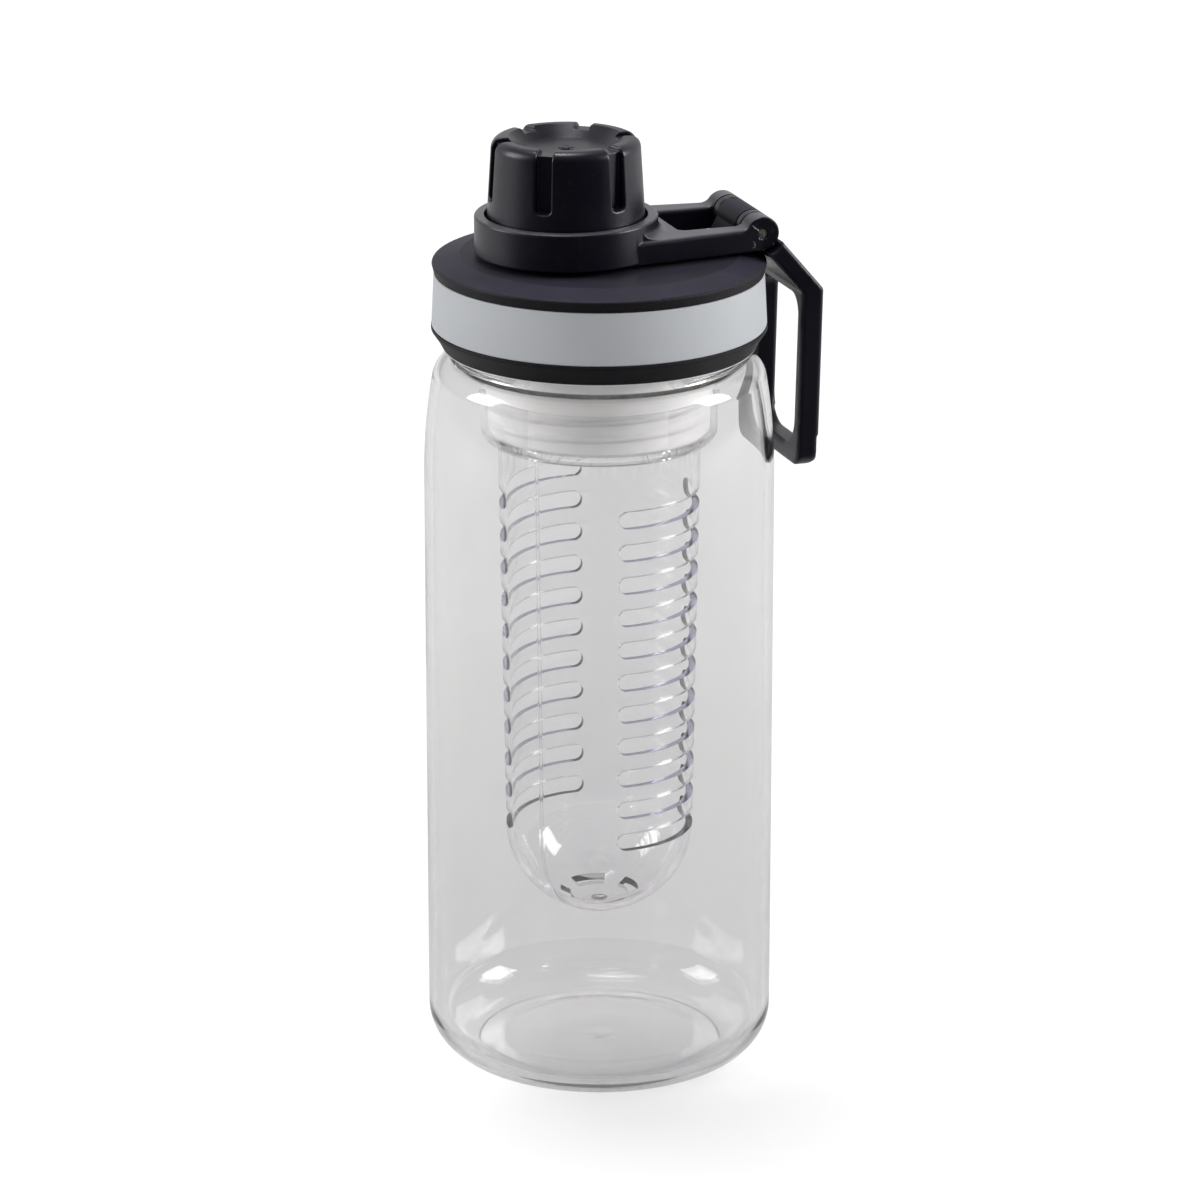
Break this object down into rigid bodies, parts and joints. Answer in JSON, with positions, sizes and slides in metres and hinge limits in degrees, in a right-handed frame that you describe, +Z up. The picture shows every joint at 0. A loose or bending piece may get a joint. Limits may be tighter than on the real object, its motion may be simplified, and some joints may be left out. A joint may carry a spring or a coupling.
{
  "type": "fruit infuser water bottle",
  "caption": "Clear round bottle with a slotted infuser basket inside, a screw lid with a soft grip band, a hinged arm that carries a screw spout cap, and a fold-down finger loop.",
  "frame": {"origin": "centre of the flat base, on the bottle's axis", "axes": "+Z up along the bottle's axis, +X from the axis towards the lid hinge and the carry loop"},
  "size_m": [0.0885, 0.08, 0.2193],
  "materials": {
    "clear_body": "clear, glossy",
    "clear_basket": "clear, glossy",
    "black_lid": "satin moulded",
    "black_cap": "satin moulded, scuffed at the hinge",
    "grey_band": "soft matte",
    "pale_liner": "translucent white",
    "soft_seal": "matte silicone",
    "steel_pin": "plain drawn"
  },
  "bodies": {
    "bottle": {"bottle_body": "clear_body"},
    "infuser": {"infuser_basket": "clear_basket"},
    "lid_seal": {"lid_gasket": "soft_seal"},
    "lid": {"lid_shell": "black_lid", "lid_band": "grey_band", "lid_liner": "pale_liner", "hinge_pin": "steel_pin"},
    "arm": {"cap_arm": "black_cap"},
    "cap_disc": {"cap_seal": "soft_seal"},
    "cap": {"spout_cap": "black_cap"},
    "loop": {"carry_loop": "black_cap"}
  },
  "joints": [
    {"name": "lift_out", "type": "slide", "parent": "bottle", "child": "infuser", "axis": [0, 0, 1], "range_m": [0, 0.18]},
    {"name": "lid_rise", "type": "slide", "parent": "infuser", "child": "lid_seal", "axis": [0, 0, 1], "range_m": [0, 0.0061]},
    {"name": "lid_turn", "type": "hinge", "parent": "lid_seal", "child": "lid", "pos_m": [0, 0, 0.18], "axis": [0, 0, 1], "range_deg": [0, 540]},
    {"name": "arm_flip", "type": "hinge", "parent": "lid", "child": "arm", "pos_m": [0.03435, 0, 0.19664], "axis": [0, 1, 0], "range_deg": [0, 105]},
    {"name": "cap_rise", "type": "slide", "parent": "arm", "child": "cap_disc", "axis": [0, 0, 1], "range_m": [0, 0.0036]},
    {"name": "cap_turn", "type": "hinge", "parent": "cap_disc", "child": "cap", "pos_m": [-0.0079, 0, 0.2], "axis": [0, 0, 1], "range_deg": [0, 360]},
    {"name": "loop_swing", "type": "hinge", "parent": "lid", "child": "loop", "pos_m": [0.03435, 0, 0.19664], "axis": [0, -1, 0], "range_deg": [0, 65]}
  ],
  "couplings": [
    {"joint": "lid_rise", "follows": "lid_turn", "m_per_rad": 0.00063662},
    {"joint": "cap_rise", "follows": "cap_turn", "m_per_rad": 0.00055704}
  ]
}
